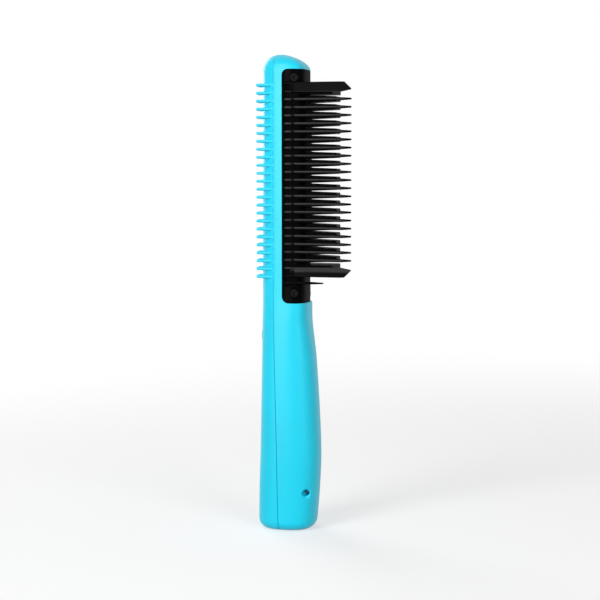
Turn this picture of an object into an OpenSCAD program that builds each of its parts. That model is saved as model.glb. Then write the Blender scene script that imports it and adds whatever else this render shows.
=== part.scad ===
// Hair straightening brush: a heated comb in a guard cassette, carried by a two-shell
// handle with a bristled back, three push buttons and a swivelling cord entry.
// Millimetres. +Z runs from the flat handle end to the dome, +X is the comb side.
// The origin is on the cord entry's axis, in the plane of the flat handle end.

/* [Body] */
// Height from the flat handle end to the top of the dome
total_h = 237.5; // [230:0.5:260]
// Height of the cassette's lower end above the handle end
handle_h = 114.8; // [110:0.1:118]
// Height of the dome over the straight head
dome_h = 7.8; // [6:0.1:10]
// Depth of the head behind the axis
head_back = 11.6; // [11:0.1:13]
// Depth of the head in front of the axis
head_front = 11; // [10.8:0.1:12]
// Half of the head's width
head_half = 11.6; // [11:0.1:13]
// Height of the handle's fullest section
swell_z = 42; // [36:1:50]
// Depth of the handle behind the axis at its fullest
swell_back = 12.9; // [12.4:0.1:13.4]
// Depth of the handle in front of the axis at its fullest
swell_front = 17.4; // [17:0.1:18.4]
// Half of the handle's width at its fullest
swell_half = 13.6; // [13.2:0.1:15]
// Depth of the handle behind the axis at its end
end_back = 13.9; // [13.4:0.1:14.4]
// Depth of the handle in front of the axis at its end
end_front = 15.1; // [14.8:0.1:16]
// Half of the handle's width at its end
end_half = 12.6; // [12.2:0.1:13.5]
// Radius that rounds the handle end
end_r = 4.5; // [3.5:0.1:5]
// Thickness of the moulded shells
wall = 2; // [1.8:0.05:2.2]
// Depth of the parting line behind the axis, in the head
part_head = 3.8; // [3.4:0.1:4.4]
// Depth of the parting line behind the axis, at the handle end
part_end = 1; // [0.8:0.1:2]
// Shadow gap between the two shells, in the handle
part_gap = 0.24; // [0.1:0.02:0.24]

/* [Back bristles] */
// Length from the shell's crown to the tips of the middle column
bristle_l = 2.5; // [2:0.1:3.2]
// Spacing of the bristle columns across the back
bristle_step = 5.15; // [4.6:0.05:5.3]
// Radius of a bristle at its root
bristle_r = 0.84; // [0.76:0.02:0.9]
// Radius of a bristle at its tip
bristle_tip_r = 0.66; // [0.5:0.02:0.7]

/* [Guard cassette] */
// Distance from the axis to the edge where the cassette meets the front shell
cassette_x = 0.9; // [0.6:0.1:1.8]
// Radius of the cassette's upper rear corner
cassette_r = 2.8; // [2:0.1:4]
// Radius of the cassette's lower rear corner
cassette_low_r = 3.4; // [2:0.1:4]
// Height from one row to the next
pitch = 3.94; // [3.8:0.01:4]
// Distance from the top of the cassette to the line of the top guard
guard_drop = 10.7; // [10:0.1:11]
// Least distance from the bottom of the cassette to the line of the bottom guard
low_drop = 17.4; // [17:0.1:18]
// Distance from the axis to the tips of the long pins
pin_x = 35.8; // [32:0.1:38]
// Distance from the axis to the tips of the short teeth on the other side
tooth_x = 24.6; // [22:0.1:26]
// Distance from the axis to the tip of the lone pin under the bottom guard
lone_pin_x = 21.8; // [18:0.1:24]
// Radius of a pin at its root
pin_r = 0.9; // [0.7:0.05:0.95]
// Radius of a long pin where its point starts
pin_neck_r = 0.78; // [0.6:0.02:0.85]
// Radius of a pin at its tip
pin_tip_r = 0.45; // [0.3:0.01:0.55]
// Length of a pin's point
pin_point = 5; // [3:0.5:8]
// Depth of the side pockets that the ribs stand in
rib_h = 1; // [0.8:0.05:1.1]
// Distance from the axis to the start of the ribs
rib_x = 2.1; // [2:0.1:4]
// Height of an end guard
guard_h = 4.9; // [4.4:0.1:5.4]
// How far the middle of a guard reaches past its edge towards the rows
guard_step = 1.4; // [1:0.1:1.6]
// Thickness of the long blade on a guard
blade_t = 1.6; // [1.4:0.1:1.8]
// Distance from the axis to the cassette screws
screw_x = 7; // [6:0.1:7.2]
// Distance from a cassette end to its screws
screw_in = 4; // [3.8:0.1:5.6]

/* [Heated comb] */
// Distance from the axis to the blunt ends of the fins
fin_x = 26.9; // [24:0.1:28]
// Distance from the axis to the floor between the fins
comb_floor_x = 11.7; // [11:0.1:13]
// Half of a fin's width
fin_half = 5; // [4.6:0.1:5.2]
// Thickness of a fin at its root
fin_root_t = 3.75; // [3.2:0.05:3.8]
// Thickness of a fin at its end
fin_end_t = 2.6; // [2:0.05:3]
// Height of a fin's middle above the pins beside it
fin_lift = 0.3; // [0:0.05:0.4]
// Radius of a fin's corners
fin_r = 1.6; // [1:0.1:2.4]
// Thickness of the flange behind the cassette's front wall
flange_t = 2; // [1.6:0.1:2.4]
// Thickness of the heater strips
heater_t = 1.6; // [1.4:0.1:2]
// Thickness of the insulating sheet
sheet_t = 0.5; // [0.3:0.1:0.8]
// Thickness of the spring plate that presses the heater on
plate_t = 0.6; // [0.5:0.1:0.8]

/* [Controls] */
// Distance from the bottom of the cassette down to the power button
power_drop = 17.3; // [16:0.1:19]
// Distance between neighbouring buttons
button_step = 12; // [11:0.5:13]
// Length of a button along the handle
button_l = 8; // [7:0.1:9]
// Width of a button
button_w = 5.6; // [5:0.1:6]
// Travel of a button
button_travel = 0.6; // [0.4:0.05:0.7]
// Clearance round a button
button_gap = 0.15; // [0.1:0.01:0.2]
// Width of the control bezel
bezel_w = 10.6; // [10:0.1:11.2]
// Depth of the bezel's flat bed behind the axis
bezel_bed = 10.7; // [10.6:0.05:10.8]

/* [Electronics] */
// Depth of the circuit board's rear face behind the axis
board_x = 6.6; // [6.4:0.1:6.8]
// Thickness of the circuit board
board_t = 1.6; // [1.2:0.1:1.8]
// Half of the circuit board's width
board_half = 7.2; // [6.9:0.1:7.3]
// Height of the circuit board's lower edge
board_z = 36; // [35:0.5:38]
// Distance from the bottom of the cassette down to the circuit board's upper edge
board_drop = 8.3; // [8:0.1:10]
// Height of a switch body
switch_h = 1.8; // [1.6:0.05:1.9]

/* [Cord entry] */
// Radius of the cord bore in the swivel
cord_r = 3.1; // [2.8:0.05:3.4]
// Radius of the swivel's shaft
swivel_r = 5.6; // [5.4:0.05:5.8]
// Height of the swivel's shaft
swivel_h = 12; // [11:0.5:13]
// Running clearance round the swivel's shaft
run_gap = 0.06; // [0.03:0.01:0.09]
// Outer radius of the swivel bush
bush_r = 7.4; // [7.2:0.1:7.8]

/* [Hanging hole] */
// Radius of the hanging hole
hole_r = 1.5; // [1.4:0.05:2.2]
// Distance from the axis to the hanging hole
hole_x = 12.6; // [12:0.1:13]
// Height of the hanging hole
hole_z = 19.6; // [18:0.1:22]
// Half length of the hanging hole's straight wall
hole_half = 7.6; // [6.5:0.1:7.8]
// Radius of the ball-shaped dishes at the ends of the hanging hole
dish_r = 3.9; // [3.4:0.1:4.2]

/* [Fasteners] */
// Radius of a screw head
head_r = 1.9; // [1.7:0.05:2]
// Height of a screw head
head_h = 1.2; // [1:0.05:1.4]
// Length of a shell screw under its head
shell_screw_l = 12; // [10:0.5:13]
// Length of a cassette screw under its head
cassette_screw_l = 5.5; // [4:0.5:6]
// Length of a board screw under its head
board_screw_l = 4; // [3:0.5:4.5]
// Radius of a screw shank
shank_r = 1.1; // [1:0.05:1.2]

/* [Hidden] */

fit = 0.15;  // clearance between fixed mouldings that slot together
seat = 0.1;  // clearance under a piece that is screwed or clamped down
cut = 1;     // how far a cutter runs past what it cuts
far = 60;    // size of a cutter that spans the brush
round_fn = 48;
sides = 40;

dome_z = total_h - dome_h;
cassette_z0 = handle_h;
cassette_z1 = dome_z;
guard_z = cassette_z1 - guard_drop;
// As many heated rows as the cassette has room for
rows = floor((guard_z - cassette_z0 - low_drop) / pitch) - 1;
low_guard_z = guard_z - (rows + 1) * pitch;
bristle_rows = rows + 4;
head_z = handle_h + 9;
pin_y = head_half - rib_h + 0.1;
pocket_y = head_half - rib_h;
head_n = 4;     // squareness of the head's front
handle_n = 2.6; // squareness of the handle's front
back_n = 2.2;   // squareness of the back
dome_lean = 2.8;  // how far the dome's top lies behind the axis
dome_back_n = 2.1;
dome_front_n = 1.8;
dome_n = 2.4;     // squareness of the dome's front at its top

screw_top_z = cassette_z1 - screw_in;
screw_low_z = cassette_z0 + screw_in + 1;
shell_screw_z = [28.5, handle_h - 2.6];

// Buttons and their places, from the top down
power_z = handle_h - power_drop;
button_z = [power_z, power_z - button_step, power_z - 2 * button_step];
bezel_z = [button_z[2] - button_l / 2 - 3, power_z + button_l / 2 + 6.4];
board_top = handle_h - board_drop;
board_screw_z = [board_z + 8.5, bezel_z[0] - 5.5];

// A height, then the depth behind and in front of the axis, the half width and the front's squareness
mid_z = (swell_z + handle_h) / 2 + 7;
function between(a, b, share) = a + (b - a) * share;
stations = [
    [0, end_back, end_front, end_half, handle_n],
    [swell_z / 2, between(end_back, swell_back, 0.3), between(end_front, swell_front, 0.75),
        between(end_half, swell_half, 0.7), handle_n],
    [swell_z, swell_back, swell_front, swell_half, handle_n],
    [mid_z, between(head_back, swell_back, 0.4), between(head_front, swell_front, 0.63),
        between(head_half, swell_half, 0.6), handle_n],
    [handle_h - 10, between(head_back, swell_back, 0.15), between(head_front, swell_front, 0.24),
        between(head_half, swell_half, 0.3), 3.1],
    [handle_h, head_back, head_front + 1, head_half + 0.15, 3.7],
    [head_z, head_back, head_front, head_half, head_n],
    [dome_z, head_back, head_front, head_half, head_n]];

function seg(z, i = 0) = i >= len(stations) - 2 || z <= stations[i + 1][0] ? i : seg(z, i + 1);
function slope(i, k) = stations[i][0] >= head_z ? 0 :
    let (a = max(i - 1, 0), b = i + 1)
    (stations[b][k] - stations[a][k]) / (stations[b][0] - stations[a][0]);

// A smooth curve through column k of the stations
function along(z, k) =
    let (i = seg(z), p = stations[i], q = stations[i + 1], h = q[0] - p[0], t = (z - p[0]) / h)
    (2 * t^3 - 3 * t^2 + 1) * p[k] + (t^3 - 2 * t^2 + t) * h * slope(i, k)
    + (3 * t^2 - 2 * t^3) * q[k] + (t^3 - t^2) * h * slope(i + 1, k);

// One corner of a rounded outline: c and s are cosine and sine, a and b the half axes, n the squareness
function corner(c, a, n) = sign(c) * a * pow(abs(c), 2 / n);
function outline(back, front, half, n) = [for (i = [0 : sides - 1])
    let (t = 360 * i / sides, c = cos(t), s = sin(t), m = c > 0 ? n : back_n)
    [corner(c, c > 0 ? front : back, m), corner(s, half, m)]];
function ring(z, back, front, half, n) = [for (p = outline(back, front, half, n)) [p[0], p[1], z]];
function head_outline(inset) =
    outline(head_back - inset, head_front - inset, head_half - inset, head_n);

// Rings of the handle and head, set in from the outside by an even wall
function body_ring(z, inset, shrink = 0) = ring(z, along(z, 1) - inset - shrink,
    along(z, 2) - inset - shrink, along(z, 3) - inset - shrink, along(z, 4));
function end_shrink(z, r) = z >= r ? 0 : r - sqrt(r^2 - (r - z)^2);
// Rings of the dome, k degrees up: their middle moves back as they close, and their front grows rounder
function dome_ring(inset, k) =
    let (s = sin(k), back = pow(1 - pow(s, dome_back_n), 1 / dome_back_n),
        front = pow(1 - pow(s, dome_front_n), 1 / dome_front_n), mid = dome_lean * (1 - cos(k)))
    [for (p = ring(dome_z + (dome_h - inset) * s,
        dome_lean + (head_back - inset - dome_lean) * back - mid,
        (head_front - inset + dome_lean) * front - dome_lean + mid,
        (head_half - inset) * cos(k), between(head_n, dome_n, s * s))) [p[0] - mid, p[1], p[2]]];

module loft(rings) {
    n = len(rings[0]);
    last = len(rings) - 1;
    polyhedron(
        points = [for (r = rings) for (p = r) p],
        faces = concat(
            [[for (i = [0 : n - 1]) i]],
            [for (k = [0 : last - 1]) for (i = [0 : n - 1]) let (j = (i + 1) % n)
                [k * n + i, (k + 1) * n + i, (k + 1) * n + j]],
            [for (k = [0 : last - 1]) for (i = [0 : n - 1]) let (j = (i + 1) % n)
                [k * n + i, (k + 1) * n + j, k * n + j]],
            [[for (i = [0 : n - 1]) last * n + n - 1 - i]]));
}

end_steps = [0, 0.06, 0.2, 0.45, 1];
handle_steps = 13;
module outer_body() loft(concat(
    [for (s = end_steps) body_ring(end_r * s, 0, end_shrink(end_r * s, end_r))],
    [for (i = [1 : handle_steps]) body_ring(between(end_r, head_z, i / handle_steps), 0)],
    [for (k = [0, 14, 28, 42, 55, 68, 79]) dome_ring(0, k)]));

inner_steps = 8;
module inner_body() loft(concat(
    [for (s = [0, 0.2, 0.5, 1])
        body_ring(between(wall, end_r, s), wall, end_shrink((end_r - wall) * s, end_r - wall))],
    [for (i = [1 : inner_steps]) body_ring(between(end_r, head_z, i / inner_steps), wall)],
    [for (k = [0, 30, 55, 76]) dome_ring(wall, k)]));

// A plate in the XZ plane, centred on y = 0, and the same with its outline given along Y
module across(t) rotate([90, 0, 0]) linear_extrude(height = t, center = true) children();
module rod_x(x0, x1, y, z, r0, r1) translate([x0, y, z]) rotate([0, 90, 0])
    cylinder(h = x1 - x0, r1 = r0, r2 = r1, $fn = round_fn);
module rod_y(x, y0, y1, z, r0, r1) translate([x, y0, z]) rotate([-90, 0, 0])
    cylinder(h = y1 - y0, r1 = r0, r2 = r1, $fn = round_fn);
module rod_z(x, y, z0, z1, r) translate([x, y, z0]) cylinder(h = z1 - z0, r = r, $fn = round_fn);
module block(x, y, z) translate([x[0], y[0], z[0]]) cube([x[1] - x[0], y[1] - y[0], z[1] - z[0]]);

// An upright slot with round ends, from depth x0 to x1
module slot_x(x0, x1, w, z0, z1) {
    block([x0, x1], [-w / 2, w / 2], [z0 + w / 2, z1 - w / 2]);
    for (z = [z0 + w / 2, z1 - w / 2]) rod_x(x0, x1, 0, z, w / 2, w / 2);
}

// Everything in front of the parting line, moved by d, and by half as much along the head
part_share = 0.2;
module front_region(d) across(2 * far) polygon([
    [-part_end + d, -cut], [-between(part_end, part_head, part_share) + d, swell_z],
    [-part_head + d / 2, handle_h], [-part_head + d / 2, total_h + cut], [far, total_h + cut], [far, -cut]]);
module rear_region(d) across(2 * far) polygon([
    [-part_end - d, -cut], [-between(part_end, part_head, part_share) - d, swell_z],
    [-part_head - d / 2, handle_h], [-part_head - d / 2, total_h + cut], [-far, total_h + cut], [-far, -cut]]);

// The cassette's outline seen from the side, grown by g
module cassette_side(g) {
    x = cassette_x - g;
    z0 = cassette_z0 - g;
    z1 = cassette_z1 + g;
    r0 = cassette_low_r + g;
    r1 = cassette_r + g;
    translate([x + max(r0, r1), z0]) square([far, z1 - z0]);
    translate([x, z0 + r0]) square([far, z1 - z0 - r0 - r1]);
    translate([x + r0, z0 + r0]) circle(r = r0, $fn = round_fn);
    translate([x + r1, z1 - r1]) circle(r = r1, $fn = round_fn);
    translate([x + r1, z1 - r1]) square([far, r1]);
}

window_z = bezel_z[1] - 3.1;
window_r = 1.5;
button_out = along(power_z - button_step, 1) - 0.05;
floor_t = 1;   // shell left under the bezel
lip_t = 0.5;   // lip that keeps a button in
lip_x = bezel_bed - floor_t - seat;
button_in = lip_x - lip_t;

module button_slot(z, g, x0, x1) slot_x(x0, x1, button_w + 2 * g, z - button_l / 2 - g, z + button_l / 2 + g);

boss_r = 3;
board_post_r = 2.2;
well_r = head_r + 0.7;
well_x = -(board_x + 1.2);

module rear_bosses() {
    for (z = shell_screw_z) rod_x(-far, 0, 0, z, boss_r + 0.6, boss_r + 0.6);
    for (z = board_screw_z) rod_x(-far, -board_x - seat, 0, z, board_post_r, board_post_r);
}

// Bristles stand square to the back, row by row, and their tips follow a flatter curve
function back_x(y) = head_back * pow(1 - pow(abs(y) / head_half, back_n), 1 / back_n);
bristle_top_z = guard_z + pitch - 0.7;
module bristle(y, z, tip) {
    root = max(part_head + part_gap / 2, min(back_x(y) - wall / 2, back_x(abs(y) + bristle_r) - 0.3));
    rod_x(-tip, -root, y, z, bristle_tip_r, between(bristle_tip_r, bristle_r, (tip - root) / 6));
    translate([-tip, y, z]) sphere(r = bristle_tip_r, $fn = 16);
}

module rear_shell() color("darkturquoise") {
    difference() {
        intersection() {
            outer_body();
            rear_region(part_gap / 2);
        }
        difference() {
            inner_body();
            rear_bosses();
        }
        for (z = shell_screw_z) {
            rod_x(-far, well_x, 0, z, well_r, well_r);
            rod_x(-far, 0, 0, z, shank_r + fit, shank_r + fit);
        }
        for (z = board_screw_z) rod_x(-lip_x - 0.6, 0, 0, z, shank_r, shank_r);
        slot_x(-far, -bezel_bed, bezel_w + 2 * fit, bezel_z[0] - fit, bezel_z[1] + fit);
        slot_x(-lip_x - seat, -board_x, bezel_w - 2, bezel_z[0] + 1, bezel_z[1] - 1);
        for (z = button_z) button_slot(z, button_gap, -far, -board_x - switch_h);
        rod_x(-far, -board_x - switch_h, 0, window_z, window_r + fit, window_r + fit);
        translate([0, 0, -cut]) cylinder(h = wall + 2 * cut, r = bush_r + fit, $fn = round_fn);
    }
    for (k = [0 : bristle_rows - 1]) let (z = bristle_top_z - k * pitch) {
        bristle(0, z, head_back + bristle_l);
        for (y = [-1, 1]) {
            bristle(y * bristle_step, z, head_back + bristle_l - 0.7);
            bristle(y * 2 * bristle_step, z, head_back + bristle_l - 2.1);
        }
    }
}

hole_boss_r = hole_r + 1.6;
flare_h = 4;      // how far the hole flares beyond its straight wall
flare_slope = 0.1;
dish_x = 15;      // middle of a dish's ball, outside the corner of the handle
dish_y = 11.9;
module front_bosses() {
    rod_y(hole_x, -far, far, hole_z, hole_boss_r, hole_boss_r);
    for (z = shell_screw_z) rod_x(-far, far, 0, z, boss_r, boss_r);
}

module front_shell() color("turquoise") difference() {
    intersection() {
        outer_body();
        front_region(part_gap / 2);
    }
    difference() {
        inner_body();
        front_bosses();
    }
    across(2 * far) cassette_side(fit);
    rod_y(hole_x, -far, far, hole_z, hole_r, hole_r);
    for (s = [-1, 1]) {
        translate([hole_x, s * hole_half, hole_z]) rotate([-s * 90, 0, 0])
            cylinder(h = flare_h, r1 = hole_r, r2 = hole_r + flare_h * flare_slope, $fn = round_fn);
        translate([dish_x, s * dish_y, hole_z - 0.4]) sphere(r = dish_r, $fn = round_fn);
    }
    for (z = shell_screw_z) rod_x(-far, 8, 0, z, shank_r, shank_r);
    translate([0, 0, -cut]) cylinder(h = wall + 2 * cut, r = bush_r + fit, $fn = round_fn);
}

// Comb window through the cassette's front wall
window_half = fin_half + 0.5;
low_edge = low_guard_z + guard_step;
top_edge = guard_z - guard_step;
lone_row = rows + 2.87;
rib_rows = [-1, 0, rows + 1, rows + 2, lone_row];
rib_r = 0.85;
lone_neck_r = 0.6;
lone_tip_r = 0.35;
module rib(side, row) rod_x(rib_x, head_front - 3.2, side * pin_y, guard_z - row * pitch, rib_r, rib_r);
module pin(side, row, tip, neck_r, tip_r) {
    z = guard_z - row * pitch;
    rod_x(rib_x, tip - pin_point, side * pin_y, z, pin_r, neck_r);
    rod_x(tip - pin_point, tip - tip_r, side * pin_y, z, neck_r, tip_r);
    translate([tip - tip_r, side * pin_y, z]) sphere(r = tip_r, $fn = 16);
}

// An end guard: a long pointed blade on the pin side and a blunt block behind it
guard_root = head_front - wall + 0.3;
blade_root = 5;
bevel = 3.3;
block_r = 3;
blade_x = pin_x - 0.4;
block_x = fin_x - 1;
module guard(z, s) {
    far_y = head_half - rib_h;
    near_y = head_half - blade_t - 0.1;
    top = z + s * (guard_h - 0.5);
    translate([0, -near_y - blade_t / 2, 0]) across(blade_t) polygon([
        [blade_root, z - s * 0.5], [blade_x - 5, z - s * 0.5], [blade_x, z + s * 0.5], [blade_x, z + s * 1.1],
        [blade_x - bevel, top - s * 0.1], [blade_x - bevel - 2, top], [blade_root, top]]);
    intersection() {
        translate([0, (far_y - near_y - 0.1) / 2, 0]) across(far_y + near_y + 0.1) polygon([
            [guard_root, z - s * guard_step], [block_x, z - s * guard_step],
            [block_x, z + s * (guard_h - 1)], [guard_root, top]]);
        union() {
            block([0, block_x - block_r], [-far, far], [z - far, z + far]);
            block([0, block_x], [-far, far_y - block_r], [z - far, z + far]);
            rod_z(block_x - block_r, far_y - block_r, z - far, z + far, block_r);
        }
    }
}

// A band of the cassette's section between two insets, for x from x0 to x1 and z from z0 to z1
module band(outer, inner, x, z) intersection() {
    linear_extrude(height = total_h) difference() {
        polygon(head_outline(outer));
        polygon(head_outline(inner));
    }
    block(x, [-far, far], z);
}

lip_in = wall + fit + 1.1;
lip_z = [cassette_z0 + cassette_low_r, cassette_z1 - cassette_r];
web_t = 1.6;
screw_floor = pocket_y - 0.3;
module comb_cassette() color([0.09, 0.09, 0.1]) difference() {
    union() {
        difference() {
            intersection() {
                band(0.05, wall, [-far, far], [0, total_h]);
                across(2 * far) cassette_side(0);
            }
            for (y = [-1, 1]) block([rib_x, far], [y > 0 ? pocket_y : -far, y > 0 ? far : -pocket_y],
                [guard_z - (rows + 3) * pitch - 1.5, guard_z + pitch + 0.9]);
        }
        // Lip that locates the cassette inside the front shell, and the step that carries it
        band(wall + fit, lip_in, [cassette_x - 2, cassette_x + 1], lip_z);
        band(1, lip_in, [cassette_x + 0.2, cassette_x + 1], lip_z);
        // Webs that close the cassette's ends
        for (z = [cassette_z0, cassette_z1 - web_t]) intersection() {
            linear_extrude(height = total_h) polygon(head_outline(1));
            block([cassette_x + cassette_low_r, far], [-far, far], [z, z + web_t]);
        }
        for (s = [-1, 1]) {
            for (k = rib_rows) rib(s, k);
            for (k = [1 : rows]) pin(s, k, s < 0 ? pin_x : tooth_x, pin_neck_r, pin_tip_r);
        }
        pin(-1, lone_row, lone_pin_x, lone_neck_r, lone_tip_r);
        guard(guard_z, 1);
        guard(low_guard_z, -1);
    }
    block([0, far], [-window_half, window_half], [low_edge + 0.2, top_edge]);
    for (z = [screw_low_z, screw_top_z], s = [-1, 1]) {
        rod_y(screw_x, s > 0 ? screw_floor : -far, s > 0 ? far : -screw_floor, z, head_r + 0.3, head_r + 0.3);
        rod_y(screw_x, s > 0 ? 0 : -far, s > 0 ? far : 0, z, shank_r + fit, shank_r + fit);
    }
}

// Depths of the heater stack, from the cassette's front wall inwards, and of the board's front face
board_front = -board_x + board_t;
flange_x = head_front - wall - seat;
heater_x = flange_x - flange_t;
sheet_x = heater_x - heater_t - 0.02;
plate_x = sheet_x - sheet_t - 0.02;
frame_x = plate_x - plate_t - seat;
comb_z = [low_edge + 0.6, top_edge - 0.4];
strip_count = 3;
strip_gap = 2;
strip_l = (comb_z[1] - comb_z[0] - 8 - (strip_count - 1) * strip_gap) / strip_count;
strip_half = 4.6;

fin_nose_r = 0.8;
module fin(z) intersection() {
    across(2 * fin_half) polygon(concat(
        [[flange_x - 0.5, z - fin_root_t / 2], [comb_floor_x, z - fin_root_t / 2]],
        [for (s = [-1, 1]) for (i = [0 : 3]) let (a = s < 0 ? 30 * i - 90 : 30 * i)
            [fin_x + fin_nose_r * (cos(a) - 1), z + s * (fin_end_t / 2 - fin_nose_r) + fin_nose_r * sin(a)]],
        [[comb_floor_x, z + fin_root_t / 2], [flange_x - 0.5, z + fin_root_t / 2]]));
    union() {
        block([0, fin_x - fin_r], [-fin_half, fin_half], [z - 2, z + 2]);
        block([0, fin_x], [-fin_half + fin_r, fin_half - fin_r], [z - 2, z + 2]);
        for (y = [-1, 1]) rod_z(fin_x - fin_r, y * (fin_half - fin_r), z - 2, z + 2, fin_r);
    }
}

module heating_comb() color([0.13, 0.13, 0.14]) {
    intersection() {
        block([heater_x, flange_x], [-window_half - 1.4, window_half + 1.4], comb_z);
        linear_extrude(height = total_h) polygon(head_outline(wall + seat));
    }
    block([heater_x, comb_floor_x], [-window_half + 0.2, window_half - 0.2], comb_z);
    for (k = [1 : rows]) fin(guard_z - k * pitch + fin_lift);
}

clamp_half = strip_half + 2.4;
function strip_z(i) = comb_z[0] + 4 + i * (strip_l + strip_gap);
module heater_strips() color("gainsboro") for (i = [0 : strip_count - 1])
    block([heater_x - heater_t, heater_x - 0.02], [-strip_half, strip_half],
        [strip_z(i), strip_z(i) + strip_l]);

module heater_insulation() color("burlywood")
    block([sheet_x - sheet_t, sheet_x], [-strip_half - 1.2, strip_half + 1.2], [comb_z[0] + 2, comb_z[1] - 2]);

// A sprung plate with edges turned towards the comb and three pressed beads
module heater_clamp() color("silver") difference() {
    union() {
        block([plate_x - plate_t, plate_x], [-clamp_half, clamp_half], [comb_z[0] + 1, comb_z[1] - 1]);
        for (s = [-1, 1]) translate([0, s * (clamp_half - 0.3), 0])
            block([plate_x - plate_t, heater_x - 0.3], [-0.3, 0.3], [comb_z[0] + 1, comb_z[1] - 1]);
    }
    for (i = [0 : strip_count - 1]) rod_x(-far, far, 0, strip_z(i) + strip_l / 2, 1.6, 1.6);
}

frame_half = head_half - lip_in - fit;
frame_t = 2.6;
frame_back = frame_x - frame_t;
frame_end = [cassette_z0 + web_t + 0.2, cassette_z1 - web_t - 0.2];
lead_r = 0.8;
lead_y = [-6.2, -4.4, 4.4, 6.2];
lead_z = comb_z[0] + 11;
frame_window_l = 10;
frame_window_step = 15;
fuse_in = 18;
frame_windows = floor((comb_z[1] - comb_z[0] - fuse_in - frame_window_l) / frame_window_step) + 1;
module heater_frame() color("whitesmoke") difference() {
    union() {
        block([frame_back, frame_x], [-frame_half, frame_half], [frame_end[0] + 1.4, frame_end[1] - 1.4]);
        for (z = [[frame_end[0], comb_z[0] - 1.2], [comb_z[1] + 1.2, frame_end[1]]]) intersection() {
            block([cassette_x + 1.2, flange_x - 0.1], [-far, far], z);
            linear_extrude(height = total_h) polygon(head_outline(wall + fit));
        }
    }
    for (z = [screw_low_z, screw_top_z]) rod_y(screw_x, -far, far, z, shank_r - 0.02, shank_r - 0.02);
    // Lightening windows, and holes for the leads
    for (i = [0 : frame_windows - 1]) let (z = comb_z[0] + fuse_in + i * frame_window_step)
        block([-far, frame_x + 0.5], [-3, 3], [z, z + frame_window_l]);
    for (y = lead_y) rod_x(-far, frame_x + 0.5, y, lead_z, lead_r + fit, lead_r + fit);
}

fuse_r = 1.6;
fuse_l = 10;
fuse_wire_l = 3;
fuse_wire_r = 0.4;
module thermal_fuse() color("goldenrod") translate([frame_back - fuse_r - seat, 5, comb_z[0] + fuse_in]) {
    rod_z(0, 0, fuse_wire_l, fuse_wire_l + fuse_l, fuse_r);
    rod_z(0, 0, 0, 2 * fuse_wire_l + fuse_l, fuse_wire_r);
}

bead_r = 0.9;
module thermistor() color("saddlebrown") {
    rod_z(heater_x - bead_r - seat, 0, comb_z[0] + 0.2, comb_z[0] + 1.8, bead_r);
    rod_z(heater_x - bead_r - seat, 0, comb_z[0] - 0.9, comb_z[0] + 0.6, 0.35);
}

// Leads run up from the board, turn through the frame and end on the clamp
lead_x = board_front + lead_r + seat;
module heater_leads() color("firebrick") for (y = lead_y) {
    rod_z(lead_x, y, board_top - 6, lead_z, lead_r);
    translate([lead_x, y, lead_z]) sphere(r = lead_r, $fn = 24);
    rod_x(lead_x, plate_x - plate_t - seat, y, lead_z, lead_r, lead_r);
}

module circuit_board() color("darkgreen") difference() {
    block([-board_x, board_front], [-board_half, board_half], [board_z, board_top]);
    for (z = board_screw_z) rod_x(-far, far, 0, z, shank_r + fit, shank_r + fit);
    rod_x(-far, far, 0, board_top, 3.4, 3.4);
}

cap_r = 4;
cap_l = 16;
cap_rim = 0.5;
cap_z = board_screw_z[1] + head_r + 2;
module capacitor() color("midnightblue") translate([board_front + cap_r + seat, 0, cap_z]) {
    rod_z(0, 0, 0, cap_l, cap_r);
    rod_z(0, 0, -cap_rim, cap_l + cap_rim, cap_r - cap_rim);
}

module_half = 6.4;
module_l = 13;
module_h = 7;
tab_t = 0.8;
tab_half = 4.6;
tab_over = 1.4;
module_z = board_top - 9 - module_l;
module power_module() color("dimgray") {
    block([board_front + seat, board_front + module_h], [-module_half, module_half],
        [module_z, module_z + module_l]);
    block([board_front + module_h, board_front + module_h + tab_t], [-tab_half, tab_half],
        [module_z - tab_over, module_z + module_l + tab_over]);
}

terminal_half = 6;
terminal_l = 5;
terminal_h = 6;
terminal_z = board_z + 0.5;
module terminal_block() color("seagreen") difference() {
    block([board_front + seat, board_front + terminal_h], [-terminal_half, terminal_half],
        [terminal_z, terminal_z + terminal_l]);
    for (s = [-1, 1])
        rod_x(board_front + terminal_h / 2, far, s * terminal_half / 2, terminal_z + terminal_l / 2, 1.2, 1.2);
}

plunger_r = 1.7;
switch_half = 3;
module switch_bodies() color([0.15, 0.15, 0.16]) for (z = button_z) difference() {
    block([-board_x - switch_h, -board_x - 0.02], [-switch_half, switch_half],
        [z - switch_half, z + switch_half]);
    rod_x(-far, -board_x - 0.3, 0, z, plunger_r + 0.05, plunger_r + 0.05);
}

module plunger(z) color("ivory")
    rod_x(-button_in + 0.02, -board_x - 0.35 - button_travel, 0, z, plunger_r, plunger_r);
module power_plunger() plunger(button_z[0]);
module temp_up_plunger() plunger(button_z[1]);
module temp_down_plunger() plunger(button_z[2]);

// A button cap with a slightly crowned face, and a lip that the shell keeps in
module button(z) {
    intersection() {
        slot_x(-button_out, -button_in, button_w, z - button_l / 2, z + button_l / 2);
        rod_y(-button_out + 40, -far, far, z, 40, 40);
    }
    button_slot(z, 0.9, -lip_x, -button_in);
}
module power_button() color("turquoise") difference() {
    button(button_z[0]);
    translate([-button_out, 0, button_z[0]]) rotate([0, 90, 0]) difference() {
        cylinder(h = 0.5, r = 1.5, center = true, $fn = round_fn);
        cylinder(h = 1, r = 1, center = true, $fn = round_fn);
    }
}
mark_l = 2.4;
mark_t = 0.5;
module minus_cut(z) translate([-button_out, 0, z]) cube([0.5, mark_l, mark_t], center = true);
module temp_up_button() color("turquoise") difference() {
    button(button_z[1]);
    minus_cut(button_z[1]);
    translate([-button_out, 0, button_z[1]]) cube([0.5, mark_t, mark_l], center = true);
}
module temp_down_button() color("turquoise") difference() {
    button(button_z[2]);
    minus_cut(button_z[2]);
}

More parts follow.
